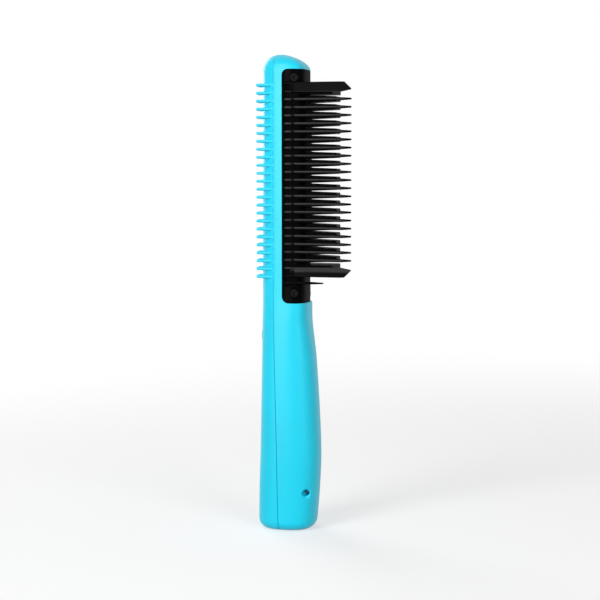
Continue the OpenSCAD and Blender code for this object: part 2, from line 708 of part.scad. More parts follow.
module control_bezel() color([0.06, 0.07, 0.08]) difference() {
    intersection() {
        outer_body();
        slot_x(-far, -bezel_bed - 0.05, bezel_w, bezel_z[0], bezel_z[1]);
    }
    for (z = button_z) button_slot(z, button_gap, -far, 0);
    rod_x(-far, 0, 0, window_z, window_r + fit, window_r + fit);
}

module indicator_window() color("aliceblue") {
    rod_x(-along(window_z, 1) + 0.05, -board_x - 1.4, 0, window_z, window_r, window_r);
    rod_x(-lip_x, -lip_x + 0.8, 0, window_z, window_r + 0.4, window_r + 0.4);
}

module indicator_leds() color("honeydew")
    block([-board_x - 1.3, -board_x - 0.02], [-1.2, 1.2], [window_z - 1.2, window_z + 1.2]);

// A screw along X with its head at x0, and one along Y
module cross_cut(h) for (a = [0, 90]) rotate([0, 0, a]) cube([2 * head_r * 0.62, 0.5, h], center = true);
module screw(l) difference() {
    union() {
        cylinder(h = head_h, r = head_r, $fn = round_fn);
        translate([0, 0, head_h - 0.01]) cylinder(h = l, r = shank_r - 0.05, $fn = round_fn);
    }
    cross_cut(1.4);
}

module cassette_screws() color("dimgray") for (z = [screw_low_z, screw_top_z], s = [-1, 1])
    translate([screw_x, s * (screw_floor + head_h), z]) rotate([s * 90, 0, 0]) screw(cassette_screw_l);

module shell_screws() color("silver") for (z = shell_screw_z)
    translate([well_x - head_h - 0.05, 0, z]) rotate([0, 90, 0]) screw(shell_screw_l);

module board_screws() color("silver") for (z = board_screw_z)
    translate([board_front + 0.05 + head_h, 0, z]) rotate([0, -90, 0]) screw(board_screw_l);

bush_z = 0.4;
module swivel_bush() color([0.12, 0.12, 0.13]) difference() {
    union() {
        translate([0, 0, bush_z]) cylinder(h = swivel_h - bush_z - 0.2, r = bush_r, $fn = round_fn);
        translate([0, 0, wall + seat]) cylinder(h = 2.4, r = bush_r + 0.6, $fn = round_fn);
    }
    translate([0, 0, -cut]) cylinder(h = far, r = swivel_r + run_gap, $fn = round_fn);
}

swivel_top = swivel_h + 2;
post_r = 3.9;
post_h = 9;
module cord_swivel() color([0.1, 0.1, 0.11]) difference() {
    union() {
        translate([0, 0, bush_z]) cylinder(h = swivel_h, r = swivel_r, $fn = round_fn);
        translate([0, 0, swivel_h]) cylinder(h = swivel_top - swivel_h, r = bush_r - 0.3, $fn = round_fn);
        translate([0, 0, swivel_top - 0.01]) cylinder(h = post_h, r = post_r, $fn = round_fn);
    }
    translate([0, 0, -cut]) cylinder(h = far, r = cord_r, $fn = round_fn);
}

ring_z = [swivel_top + 1, swivel_top + 5.4];
ring_h = 2;
ring_r = post_r + 0.9;
module slip_rings() color("gold") for (z = ring_z) difference() {
    translate([0, 0, z]) cylinder(h = ring_h, r = ring_r, $fn = round_fn);
    translate([0, 0, z - cut]) cylinder(h = far, r = post_r + 0.02, $fn = round_fn);
}

spring_t = 0.5;
spring_back = 9.2;
module contact_springs() color("goldenrod") for (i = [0, 1]) let (s = i > 0 ? -1 : 1)
    translate([0, s * (ring_r + 0.05 + spring_t / 2), ring_z[i]]) {
        block([-spring_back, 1.5], [-spring_t / 2, spring_t / 2], [0.2, ring_h - 0.2]);
        block([-spring_back - 0.6, -spring_back + 0.6], [-0.8, 0.8], [-1, ring_h + 1]);
    }

supply_y = ring_r + spring_t + 1.4;
module supply_leads() color("black") for (s = [-1, 1])
    rod_z(-board_x - 1.1, s * supply_y, ring_z[s > 0 ? 0 : 1] + 0.4, board_z + 6, 0.95);

rear_shell();
front_shell();
comb_cassette();
heating_comb();
heater_strips();
heater_insulation();
heater_clamp();
heater_frame();
thermal_fuse();
thermistor();
heater_leads();
circuit_board();
capacitor();
power_module();
terminal_block();
switch_bodies();
power_plunger();
temp_up_plunger();
temp_down_plunger();
power_button();
temp_up_button();
temp_down_button();
control_bezel();
indicator_window();
indicator_leds();
cassette_screws();
shell_screws();
board_screws();
swivel_bush();
cord_swivel();
slip_rings();
contact_springs();
supply_leads();
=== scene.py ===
import math

import bmesh
import bpy
import numpy as np
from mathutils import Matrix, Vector


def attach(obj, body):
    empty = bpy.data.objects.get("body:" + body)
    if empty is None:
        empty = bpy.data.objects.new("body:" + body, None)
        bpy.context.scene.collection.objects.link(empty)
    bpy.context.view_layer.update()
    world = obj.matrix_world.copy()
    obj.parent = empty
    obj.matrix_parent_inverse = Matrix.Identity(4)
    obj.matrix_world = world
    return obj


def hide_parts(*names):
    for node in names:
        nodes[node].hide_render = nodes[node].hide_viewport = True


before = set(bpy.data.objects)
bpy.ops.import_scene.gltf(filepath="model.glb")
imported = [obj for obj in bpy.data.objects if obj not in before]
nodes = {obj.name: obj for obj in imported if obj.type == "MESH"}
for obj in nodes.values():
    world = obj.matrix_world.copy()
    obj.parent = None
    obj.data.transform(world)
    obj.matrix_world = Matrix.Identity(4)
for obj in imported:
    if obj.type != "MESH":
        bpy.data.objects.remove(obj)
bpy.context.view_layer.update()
scene = bpy.context.scene
scene.view_settings.view_transform = "Standard"
print("frame loaded,", len(nodes), "nodes")

mm = 0.001

# The camera looks at the side of the long pins, from a little above and a little towards the
# comb's tips. Angles are in degrees and lengths in millimetres
cameraView = {"azimuth": 15, "elevation": 4.9, "distance": 783, "aim": (6.55, 1.7, 115.4),
              "fieldOfView": 21.8, "clipStart": 50}


def placeCamera(view):
    turn, lift = math.radians(view["azimuth"]), math.radians(view["elevation"])
    back = Vector((math.sin(turn) * math.cos(lift), -math.cos(turn) * math.cos(lift),
                   math.sin(lift)))
    camera = bpy.data.objects.new("camera", bpy.data.cameras.new("camera"))
    camera.data.angle = math.radians(view["fieldOfView"])
    camera.data.clip_start = view["clipStart"] * mm
    camera.location = (Vector(view["aim"]) + back * view["distance"]) * mm
    camera.rotation_euler = (-back).to_track_quat("-Z", "Y").to_euler()
    scene.collection.objects.link(camera)
    scene.camera = camera


placeCamera(cameraView)
print("camera placed")


# One socket in a node tree, so that maths on it reads as plain expressions
class Wire:
    def __init__(self, tree, socket=None):
        self.tree, self.socket = tree, socket

    def node(self, kind, settings=None, sockets=None, out=0):
        made = self.tree.nodes.new(kind)
        for name, value in (settings or {}).items():
            setattr(made, name, value)
        for name, value in (sockets or {}).items():
            if isinstance(value, Wire):
                self.tree.links.new(value.socket, made.inputs[name])
            else:
                made.inputs[name].default_value = value
        return Wire(self.tree, made.outputs[out])

    def maths(self, operation, first, second=0.0, third=0.0):
        return self.node("ShaderNodeMath", {"operation": operation},
                         {0: first, 1: second, 2: third})

    def __add__(self, other):
        return self.maths("ADD", self, other)

    def __radd__(self, other):
        return self.maths("ADD", other, self)

    def __sub__(self, other):
        return self.maths("SUBTRACT", self, other)

    def __rsub__(self, other):
        return self.maths("SUBTRACT", other, self)

    def __mul__(self, other):
        return self.maths("MULTIPLY", self, other)

    def __rmul__(self, other):
        return self.maths("MULTIPLY", other, self)

    def __truediv__(self, other):
        return self.maths("DIVIDE", self, other)

    def __rtruediv__(self, other):
        return self.maths("DIVIDE", other, self)

    def __pow__(self, other):
        return self.maths("POWER", self, other)


# An sRGB colour, written as 0 to 255, in the scene's linear light
def linear(colour):
    parts = [min(c, 255) / 255 for c in colour]
    return [c / 12.92 if c <= 0.04045 else ((c + 0.055) / 1.055) ** 2.4 for c in parts] + [1]


def startMaterial(name, constants):
    material = bpy.data.materials.new(name)
    material.use_nodes = True
    shader = material.node_tree.nodes["Principled BSDF"]
    for socket, value in constants.items():
        shader.inputs[socket].default_value = value
    wire = Wire(material.node_tree)
    return material, shader, wire, wire.node("ShaderNodeTexCoord", out="Object")


def feed(shader, **wires):
    for socket, wire in wires.items():
        shader.id_data.links.new(wire.socket, shader.inputs[socket.replace("_", " ")])


def noise(wire, place, scale, detail=2.0, rough=0.5):
    return wire.node("ShaderNodeTexNoise", sockets={"Vector": place, "Scale": scale,
                                                    "Detail": detail, "Roughness": rough})


# A mix of two colours, each a wire or an sRGB colour
def shadeBetween(wire, factor, first, second):
    ends = [shade if isinstance(shade, Wire) else linear(shade) for shade in (first, second)]
    return wire.node("ShaderNodeMix", {"data_type": "RGBA"},
                     {"Factor": factor, 6: ends[0], 7: ends[1]}, out=2)


# Relief of a small depth, on edges that are rounded where a radius is given, in millimetres
def relief(wire, height, depth, radius=0):
    sockets = {"Height": height, "Distance": depth * mm}
    if radius:
        sockets["Normal"] = wire.node("ShaderNodeBevel", {"samples": 4}, {"Radius": radius * mm})
    return wire.node("ShaderNodeBump", sockets=sockets)


# Rises smoothly from 0 at low to 1 at high
def smoothRise(wire, value, low, high):
    return wire.node("ShaderNodeMapRange", {"interpolation_type": "SMOOTHSTEP"},
                     {"Value": value, "From Min": low, "From Max": high})


# 1 where a value lies between low and high, with soft edges, all in millimetres
def within(wire, value, low, high, soft):
    rise = smoothRise(wire, value, (low - soft) * mm, (low + soft) * mm)
    fall = smoothRise(wire, value, (high - soft) * mm, (high + soft) * mm)
    return rise * (1 - fall)


def axisOf(wire, place, axis):
    return wire.node("ShaderNodeSeparateXYZ", sockets={"Vector": place}, out=axis)


# White paint in the marks that are sunk in each button's face. The buttons stand one step apart
def inlayMask(wire, place, inlay):
    depth = axisOf(wire, place, 0) + inlay["face"] * mm
    side = wire.maths("ABSOLUTE", axisOf(wire, place, 1))
    step = inlay["step"] * mm
    offset = wire.maths("WRAP", axisOf(wire, place, 2) - inlay["lowest"] * mm, step / 2, -step / 2)
    height = wire.maths("ABSOLUTE", offset)
    return (within(wire, depth, *inlay["depth"]) * within(wire, side, *inlay["reach"])
            * within(wire, height, *inlay["reach"]))


# A moulded plastic: clouds of slightly uneven colour, a fine grain and edges with a small radius
def mouldedPlastic(name, colour, look):
    material, shader, wire, place = startMaterial(name, look["constants"])
    cloud = noise(wire, place, look["cloudScale"])
    grain = noise(wire, place, look["grainScale"], look["grainDetail"], look["grainRough"])
    tone = (cloud - 0.5) * look["cloud"] + (grain - 0.5) * look["speck"] + 0.5
    spread = look["spread"]
    shade = shadeBetween(wire, tone, [c * (1 - spread) for c in colour],
                         [c * (1 + spread) for c in colour])
    if "inlay" in look:
        painted = inlayMask(wire, place, look["inlay"])
        shade = shadeBetween(wire, painted, shade, look["inlay"]["colour"])
    feed(shader, Base_Color=shade, Roughness=(grain - 0.5) * look["roughSpread"] + look["rough"],
         Normal=relief(wire, grain, look["grainDepth"], look["edge"]))
    if "polish" in look:
        feed(shader, Coat_Weight=polishOf(wire, place, cloud, look["polish"]))
    return material


# Hair that runs over the outer crests of the ribs and pins has polished them, most along the rows
def polishOf(wire, place, cloud, polish):
    front, side, height = [axisOf(wire, place, axis) for axis in range(3)]
    crest = (within(wire, wire.maths("ABSOLUTE", side), *polish["side"])
             * within(wire, front, *polish["front"]))
    rows = within(wire, height, *polish["rows"]) * (1 - polish["least"]) + polish["least"]
    worn = cloud * polish["patchSpread"] + polish["patch"]
    return crest * rows * worn * polish["weight"]


# Scales are per metre and depths in millimetres. Colours spread by a share to both sides
satinShell = {"cloudScale": 28, "cloud": 0.7, "grainScale": 2400, "grainDetail": 3.0,
              "grainRough": 0.6, "grainDepth": 0.006, "speck": 0.35, "spread": 0.05,
              "rough": 0.38, "roughSpread": 0.1, "edge": 0.25,
              "constants": {"IOR": 1.45, "Specular IOR Level": 0.5}}
# Each range of the polish and of the inlay is from, to and softness, in millimetres
guardPolish = {"side": (11.35, 30, 0.1), "front": (2.4, 60, 0.3), "rows": (130.5, 218.6, 0.6),
               "weight": 0.36, "least": 0.08, "patch": 0.8, "patchSpread": 0.4}
satinGuard = {**satinShell, "rough": 0.4, "grainDepth": 0.004, "spread": 0.25, "edge": 0.15,
              "polish": guardPolish,
              "constants": {"IOR": 1.05, "Specular IOR Level": 0.5, "Coat Roughness": 0.3}}
combCoat = {**satinShell, "spread": 0.25, "edge": 0.15, "rough": 0.34, "grainScale": 3200,
            "speck": 0.6, "constants": {"IOR": 1.06, "Specular IOR Level": 0.5}}
glossBezel = {**satinShell, "rough": 0.12, "roughSpread": 0.04, "grainDepth": 0.001, "spread": 0.1,
              "constants": {"Specular IOR Level": 0.4, "Coat Weight": 0.3,
                            "Coat Roughness": 0.05}}
glassNylon = {**satinShell, "rough": 0.55, "speck": 1.2, "grainScale": 900,
              "constants": {"Specular IOR Level": 0.3}}
caseEpoxy = {**satinShell, "rough": 0.5, "grainScale": 1500, "spread": 0.2, "edge": 0.1,
             "constants": {"Specular IOR Level": 0.3}}


# A worked metal: streaks over a base colour, or specks where the noise isn't stretched
def streakedMetal(name, colour, look):
    material, shader, wire, place = startMaterial(name, {"Metallic": 1.0})
    drawn = wire.node("ShaderNodeMapping", sockets={"Vector": place, "Scale": look["stretch"]})
    streak = noise(wire, drawn, look["scale"], look["detail"])
    darkest, lightest = look["shades"]
    shade = shadeBetween(wire, streak, [c * darkest for c in colour],
                         [c * lightest for c in colour])
    feed(shader, Base_Color=shade, Roughness=(streak - 0.5) * look["roughSpread"] + look["rough"],
         Normal=relief(wire, streak, look["depth"], look["edge"]))
    return material


turnedSteel = {"stretch": (1, 1, 1), "scale": 2200, "detail": 3.0, "depth": 0.006, "edge": 0.08,
               "shades": (0.8, 1.08), "rough": 0.34, "roughSpread": 0.25}
rolledSheet = {**turnedSteel, "stretch": (6, 6, 0.15), "scale": 700, "depth": 0.004, "edge": 0.1,
               "rough": 0.28}


# The circuit board: tinned pads and copper runs under green lacquer
boardLook = {"runScale": 160, "runWidth": 0.09, "runSoftness": 0.1,
             "lacquer": ((16, 92, 52), (30, 128, 70)),
             "padScale": 420, "padShare": 0.16, "tin": (196, 200, 196), "depth": 0.03,
             "rough": 0.3, "padRough": 0.1, "padMetal": 0.9}


def boardLacquer(name, look):
    material, shader, wire, place = startMaterial(name, {"Specular IOR Level": 0.5})
    turned = wire.node("ShaderNodeMapping", sockets={"Vector": place,
                                                     "Rotation": (0, math.radians(90), 0)})
    runs = wire.node("ShaderNodeTexBrick", {"offset": 0.5},
                     {"Vector": turned, "Scale": look["runScale"], "Mortar Size": look["runWidth"],
                      "Mortar Smooth": look["runSoftness"], "Color1": (0, 0, 0, 1),
                      "Color2": (0, 0, 0, 1), "Mortar": (1, 1, 1, 1)}, out="Fac")
    pads = wire.node("ShaderNodeTexVoronoi", sockets={"Vector": place, "Scale": look["padScale"]},
                     out="Distance")
    pad = wire.maths("LESS_THAN", pads, look["padShare"])
    green = shadeBetween(wire, runs, *look["lacquer"])
    feed(shader, Base_Color=shadeBetween(wire, pad, green, look["tin"]),
         Roughness=look["rough"] + pad * look["padRough"], Metallic=pad * look["padMetal"],
         Normal=relief(wire, runs + pad, look["depth"]))
    return material


# A sheet of mica: pale gold flakes laid flat
micaLook = {"flakeScale": 500, "shades": ((176, 148, 96), (226, 205, 150)), "rough": 0.3,
            "roughSpread": 0.3}


def micaSheet(name, look):
    material, shader, wire, place = startMaterial(name, {"Specular IOR Level": 0.5})
    flakes = wire.node("ShaderNodeTexVoronoi",
                       sockets={"Vector": place, "Scale": look["flakeScale"]}, out="Color")
    tone = wire.node("ShaderNodeSeparateColor", sockets={"Color": flakes})
    feed(shader, Base_Color=shadeBetween(wire, tone, *look["shades"]),
         Roughness=tone * look["roughSpread"] + look["rough"])
    return material


# A sintered ceramic: chalky white with small dark pores
ceramicLook = {"poreScale": 1800, "poreDetail": 4.0, "poreRough": 0.7, "depth": 0.02,
               "shades": ((200, 198, 190), (240, 238, 232)), "rough": 0.75, "roughDrop": 0.2}


def firedCeramic(name, look):
    material, shader, wire, place = startMaterial(name, {"Specular IOR Level": 0.3})
    pores = noise(wire, place, look["poreScale"], look["poreDetail"], look["poreRough"])
    feed(shader, Base_Color=shadeBetween(wire, pores, *look["shades"]),
         Roughness=look["rough"] - pores * look["roughDrop"],
         Normal=relief(wire, pores, look["depth"]))
    return material


# The clear window over the indicator and the lit lens behind it
windowLook = {"hazeScale": 900, "shades": ((214, 232, 236), (240, 248, 250)), "rough": 0.08,
              "roughSpread": 0.1, "constants": {"Transmission Weight": 1.0, "IOR": 1.49}}
lensLook = {"cloudScale": 600, "cloudDetail": 1.0, "shades": ((190, 235, 255), (245, 252, 255)),
            "rough": 0.3, "roughSpread": 0.2, "constants": {"Emission Strength": 0.6}}


def clearWindow(name, look):
    material, shader, wire, place = startMaterial(name, look["constants"])
    haze = noise(wire, place, look["hazeScale"])
    feed(shader, Base_Color=shadeBetween(wire, haze, *look["shades"]),
         Roughness=haze * look["roughSpread"] + look["rough"])
    return material


def litLens(name, look):
    material, shader, wire, place = startMaterial(name, look["constants"])
    cloud = noise(wire, place, look["cloudScale"], look["cloudDetail"])
    glow = shadeBetween(wire, cloud, *look["shades"])
    feed(shader, Base_Color=glow, Emission_Color=glow,
         Roughness=cloud * look["roughSpread"] + look["rough"])
    return material


# The reach is a distance from a button's middle, so its range starts below zero
buttonInlay = {"face": 12.07, "depth": (0.12, 0.5, 0.01), "lowest": 73.5, "step": 12,
               "reach": (-1, 2.1, 0.02), "colour": (232, 236, 238)}
finishes = {
    "shell_turquoise": mouldedPlastic("shellTurquoise", (8, 209, 237), satinShell),
    "button_turquoise": mouldedPlastic("buttonTurquoise", (8, 200, 230),
                                      {**satinShell, "rough": 0.26, "inlay": buttonInlay}),
    "guard_black": mouldedPlastic("guardBlack", (7, 7, 8), satinGuard),
    "comb_coating": mouldedPlastic("combCoating", (9, 9, 10), combCoat),
    "bezel_gloss": mouldedPlastic("bezelGloss", (9, 10, 12), glossBezel),
    "frame_resin": mouldedPlastic("frameResin", (226, 222, 208), glassNylon),
    "black_case": mouldedPlastic("blackCase", (26, 27, 31), caseEpoxy),
    "terminal_green": mouldedPlastic("terminalGreen", (42, 140, 84), caseEpoxy),
    "lead_red": mouldedPlastic("leadRed", (176, 30, 26), caseEpoxy),
    "lead_black": mouldedPlastic("leadBlack", (20, 20, 22), caseEpoxy),
    "screw_steel": streakedMetal("screwSteel", (196, 198, 202), turnedSteel),
    "screw_black": streakedMetal("screwBlack", (22, 22, 24), {**turnedSteel, "rough": 0.5}),
    "spring_steel": streakedMetal("springSteel", (188, 190, 194), rolledSheet),
    "brass": streakedMetal("brass", (214, 176, 92), rolledSheet),
    "board_green": boardLacquer("boardGreen", boardLook),
    "mica": micaSheet("mica", micaLook),
    "heater_ceramic": firedCeramic("heaterCeramic", ceramicLook),
    "window_clear": clearWindow("windowClear", windowLook),
    "lens": litLens("indicatorLens", lensLook),
    "bush": mouldedPlastic("bushBlack", (34, 34, 37), caseEpoxy),
    "swivel": mouldedPlastic("swivelBlack", (20, 20, 22), {**caseEpoxy, "rough": 0.36}),
}
# Nodes whose finish isn't that of their slot
ownFinish = {"indicator_leds": "lens", "swivel_bush": "bush", "cord_swivel": "swivel"}
for name, piece in nodes.items():
    for slot in piece.material_slots:
        slot.material = finishes[ownFinish.get(name, slot.material.name)]
print("materials set")

# The body's outline, in millimetres, as the part has it. Its head, its fullest section and its end
# each have a depth behind the axis, a depth in front of it and a half width. The sections between
# them take a share of each, and every squareness is the power of a rounded outline
body = {"handleTop": 114.8, "headStart": 123.8, "domeStart": 229.7, "dome": 7.64, "lean": 2.8,
        "endRadius": 4.5, "swellHeight": 42.0, "upperLift": 7, "taperDrop": 10,
        "head": (11.6, 11.0, 11.6), "swell": (12.9, 17.4, 13.6), "end": (13.9, 15.1, 12.6),
        "neckGrowth": (0, 1, 0.15), "lowerShares": (0.3, 0.75, 0.7),
        "upperShares": (0.4, 0.63, 0.6), "taperShares": (0.15, 0.24, 0.3),
        "handleSquareness": 2.6, "taperSquareness": 3.1, "neckSquareness": 3.7,
        "headSquareness": 4.0, "backSquareness": 2.2, "domeSquareness": 2.4,
        "domeBack": 2.1, "domeFront": 1.8, "thinnest": 0.01}


def between(a, b, shares):
    return [p + (q - p) * s for p, q, s in zip(a, b, shares)]


# One row for each section: height, depth behind, depth in front, half width and squareness
def bodyStations(shape):
    head, swell, end = shape["head"], shape["swell"], shape["end"]
    top, rise = shape["handleTop"], shape["swellHeight"]
    handle = shape["handleSquareness"]
    neck = [size + growth for size, growth in zip(head, shape["neckGrowth"])]
    return np.array([
        [0, *end, handle],
        [rise / 2, *between(end, swell, shape["lowerShares"]), handle],
        [rise, *swell, handle],
        [(rise + top) / 2 + shape["upperLift"], *between(head, swell, shape["upperShares"]),
         handle],
        [top - shape["taperDrop"], *between(head, swell, shape["taperShares"]),
         shape["taperSquareness"]],
        [top, *neck, shape["neckSquareness"]],
        [shape["headStart"], *head, shape["headSquareness"]],
        [shape["domeStart"], *head, shape["headSquareness"]]])


stations = bodyStations(body)


# A column of the stations at any height, on one smooth curve through them
def alongBody(column, z):
    heights, values = stations[:, 0], stations[:, column]
    slopes = np.zeros(len(heights))
    slopes[0] = (values[1] - values[0]) / (heights[1] - heights[0])
    slopes[1:-2] = (values[2:-1] - values[:-3]) / (heights[2:-1] - heights[:-3])
    i = np.clip(np.searchsorted(heights, z) - 1, 0, len(heights) - 2)
    h = heights[i + 1] - heights[i]
    t = np.clip((z - heights[i]) / h, 0, 1)
    return ((2 * t**3 - 3 * t**2 + 1) * values[i] + (t**3 - 2 * t**2 + t) * h * slopes[i]
            + (3 * t**2 - 2 * t**3) * values[i + 1] + (t**3 - t**2) * h * slopes[i + 1])


# Below 1 inside the body's ideal surface, above 1 outside it
def reachOf(shape, points, inset):
    x, y, z = points.T
    back, front, half, square = [alongBody(column, z) for column in (1, 2, 3, 4)]
    rise = np.clip((z - shape["domeStart"]) / (shape["dome"] - inset), 0, 1)
    level = np.sqrt(1 - rise**2)
    backShare = (1 - rise ** shape["domeBack"]) ** (1 / shape["domeBack"])
    frontShare = (1 - rise ** shape["domeFront"]) ** (1 / shape["domeFront"])
    lean = shape["lean"]
    mid = lean * (1 - level)
    end = shape["endRadius"]
    fall = np.where(z < end, end - np.sqrt(np.maximum(end**2 - (end - z) ** 2, 0)), 0)
    domed = z > shape["domeStart"]
    back = np.where(domed, lean + (back - inset - lean) * backShare - mid, back - fall - inset)
    front = np.where(domed, (front - inset + lean) * frontShare - lean + mid,
                     front - fall - inset)
    half = np.where(domed, (half - inset) * level, half - fall - inset)
    square = np.where(domed, square + (shape["domeSquareness"] - square) * rise**2, square)
    x = x + mid
    depth = np.maximum(np.where(x > 0, front, back), shape["thinnest"])
    half = np.maximum(half, shape["thinnest"])
    power = np.where(x > 0, square, shape["backSquareness"])
    return (np.abs(x) / depth) ** power + (np.abs(y) / half) ** power


# Where each point meets the ideal surface on its way out from the axis, and whether it starts
# close to that surface
def laidOn(shape, points, look):
    inset, reach = look["inset"], look["reach"]
    centre = np.zeros_like(points)
    domed = points[:, 2] > shape["domeStart"]
    centre[:, 2] = np.where(domed, shape["domeStart"], points[:, 2])
    centre[:, 0] = np.where(domed, -shape["lean"], 0)
    low, high = np.full(len(points), 1 - reach), np.full(len(points), 1 + reach)
    ray = points - centre
    near = (reachOf(shape, centre + ray * low[:, None], inset) < 1) & (
        reachOf(shape, centre + ray * high[:, None], inset) > 1)
    for _ in range(look["halvings"]):
        middle = (low + high) / 2
        inside = reachOf(shape, centre + ray * middle[:, None], inset) < 1
        low, high = np.where(inside, middle, low), np.where(inside, high, middle)
    return centre + ray * low[:, None], near


# Marks the faces that lie on the body's surface and face the way it faces. A divided face hands
# its mark on
def markOuter(work, shape, look):
    faces = list(work.faces)
    centres = np.array([face.calc_center_median() for face in faces]) / mm
    normals = np.array([face.normal for face in faces])
    level = reachOf(shape, centres, look["inset"])
    slope = np.stack([reachOf(shape, centres + look["probe"] * axis, look["inset"]) - level
                      for axis in np.eye(3)], axis=1)
    steepness = np.linalg.norm(slope, axis=1) + 1e-12  # never 0, so that it can divide
    facing = (slope * normals).sum(1) / steepness
    chosen = ((np.abs(level - 1) < look["near"]) & (facing > look["facing"])
              & (centres[:, 2] > look["above"]))
    for face, wanted in zip(faces, chosen):
        face.material_index = int(wanted)


# The edges or points of marked faces, in the mesh's own order
def onOuter(parts):
    return [part for part in parts if any(face.material_index for face in part.link_faces)]


# The node's own solid with its outer faces divided and laid on the ideal curve, so that no flat
# facet shows
def smoothedCopy(node, name, look):
    mesh = nodes[node].data.copy()
    mesh.name = name
    if "custom_normal" in mesh.attributes:
        mesh.attributes.remove(mesh.attributes["custom_normal"])
    work = bmesh.new()
    work.from_mesh(mesh)
    bmesh.ops.remove_doubles(work, verts=work.verts, dist=look["merge"] * mm)
    markOuter(work, body, look)
    for longest in look["steps"]:
        edges = [edge for edge in onOuter(work.edges) if edge.calc_length() > longest * mm]
        bmesh.ops.subdivide_edges(work, edges=edges, cuts=1)
        bmesh.ops.triangulate(work, faces=[face for face in work.faces if len(face.verts) > 3])
        verts = onOuter(work.verts)
        placed, near = laidOn(body, np.array([vert.co for vert in verts]) / mm, look)
        for vert, spot, close in zip(verts, placed * mm, near):
            if close:
                vert.co = spot
    work.normal_update()
    for face in work.faces:
        face.smooth, face.material_index = True, 0
    for edge in work.edges:
        edge.smooth = edge.calc_face_angle(0) < look["sharp"]
    work.to_mesh(mesh)
    work.free()
    piece = bpy.data.objects.new(name, mesh)
    scene.collection.objects.link(piece)
    return piece


# Each step divides the outer edges that are longer than it, in millimetres. Reach is a share of
# the way from the axis to the surface, and near is how far a face's level may be from 1
shellSmoothing = {"inset": 0.0, "reach": 0.03, "near": 0.1, "facing": 0.9, "above": 0.02,
                  "probe": 0.02, "halvings": 20, "merge": 0.001, "sharp": math.radians(33),
                  "steps": (20, 10, 5, 2.6, 1.6, 1.6)}
bristledSmoothing = {**shellSmoothing, "steps": (20, 10, 5, 2.6, 2)}
cassetteSmoothing = {**shellSmoothing, "inset": 0.05, "steps": (20, 6, 2)}
for node, name, slot, look in [
        ("rear_shell", "rearShellMoulding", "shell_turquoise", bristledSmoothing),
        ("front_shell", "frontShellMoulding", "shell_turquoise", shellSmoothing),
        ("comb_cassette", "cassetteMoulding", "guard_black", cassetteSmoothing)]:
    moulding = smoothedCopy(node, name, look)
    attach(moulding, "housing")
    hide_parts(node)
    print(name, len(moulding.data.polygons), "faces")

# The small fillets that the moulded bristles grow out of: a grid of rings laid on the rounded
# back. Lengths are in millimetres
bristleRoots = {"Rows": 25, "Row Step": 3.94, "Top Row": 222.24, "Columns": 5, "Column Step": 5.15,
                "Back Depth": 11.6, "Half Width": 11.6, "Squareness": 2.2, "Sides": 14, "Rings": 4,
                "Bristle Radius": 0.74, "Fillet": 0.42, "Flare": 2.0, "Buried": 0.2, "Reach": 0.75,
                "Climb": 1.5}


# A node tree with one named input for each value, and the wires that start from them
def startTree(name, inputs):
    tree = bpy.data.node_groups.new(name, "GeometryNodeTree")
    kinds = {int: "NodeSocketInt", float: "NodeSocketFloat"}
    for label, value in inputs.items():
        kind = kinds.get(type(value), "NodeSocketMaterial")
        tree.interface.new_socket(label, in_out="INPUT", socket_type=kind)
    tree.interface.new_socket("Geometry", in_out="OUTPUT", socket_type="NodeSocketGeometry")
    start = tree.nodes.new("NodeGroupInput")
    return Wire(tree), {label: Wire(tree, start.outputs[label]) for label in inputs}


# One fillet round a bristle: wide where it meets the back and as thin as the bristle where it
# ends. It starts as a tube of radius and height 1
def filletRing(wire, given):
    tube = wire.node("GeometryNodeMeshCylinder", {"fill_type": "NONE"},
                     {"Vertices": given["Sides"], "Side Segments": given["Rings"], "Radius": 1.0,
                      "Depth": 1.0})
    spot = wire.node("GeometryNodeInputPosition")
    across, along, up = [axisOf(wire, spot, axis) for axis in range(3)]
    rise = up + 0.5
    radius = given["Bristle Radius"] + given["Fillet"] * (1 - rise) ** given["Flare"]
    lift = given["Reach"] * rise ** given["Climb"] - given["Buried"]
    place = wire.node("ShaderNodeCombineXYZ", sockets={0: lift * -mm, 1: along * radius * mm,
                                                       2: across * radius * mm})
    return wire.node("GeometryNodeSetPosition", sockets={"Geometry": tube, "Position": place})


def bristleRootTree(inputs):
    wire, given = startTree("bristleRootRings", inputs)
    rows, step, columns, apart = [given[label] for label in
                                  ("Rows", "Row Step", "Columns", "Column Step")]
    height = (rows - 1) * step
    grid = wire.node("GeometryNodeMeshGrid", sockets={
        "Size X": (columns - 1) * apart * mm, "Size Y": height * mm, "Vertices X": columns,
        "Vertices Y": rows})
    middle = wire.node("ShaderNodeCombineXYZ", sockets={2: (given["Top Row"] - height / 2) * mm})
    quarter = math.radians(90)
    upright = wire.node("GeometryNodeTransform", sockets={"Geometry": grid, "Translation": middle,
                                                          "Rotation": (quarter, 0, quarter)})
    rings = wire.node("GeometryNodeInstanceOnPoints",
                      sockets={"Points": upright, "Instance": filletRing(wire, given)})
    joined = wire.node("GeometryNodeRealizeInstances", sockets={"Geometry": rings})
    side = wire.maths("ABSOLUTE", axisOf(wire, wire.node("GeometryNodeInputPosition"), 1))
    share = wire.maths("MINIMUM", side / (given["Half Width"] * mm), 1.0)
    squareness = given["Squareness"]
    depth = given["Back Depth"] * (1 - share ** squareness) ** (1 / squareness)
    onBack = wire.node("ShaderNodeCombineXYZ", sockets={0: depth * -mm})
    laid = wire.node("GeometryNodeSetPosition", sockets={"Geometry": joined, "Offset": onBack})
    smooth = wire.node("GeometryNodeSetShadeSmooth", sockets={"Geometry": laid})
    painted = wire.node("GeometryNodeSetMaterial",
                        sockets={"Geometry": smooth, "Material": given["Material"]})
    end = wire.tree.nodes.new("NodeGroupOutput")
    wire.tree.links.new(painted.socket, end.inputs["Geometry"])
    return wire.tree


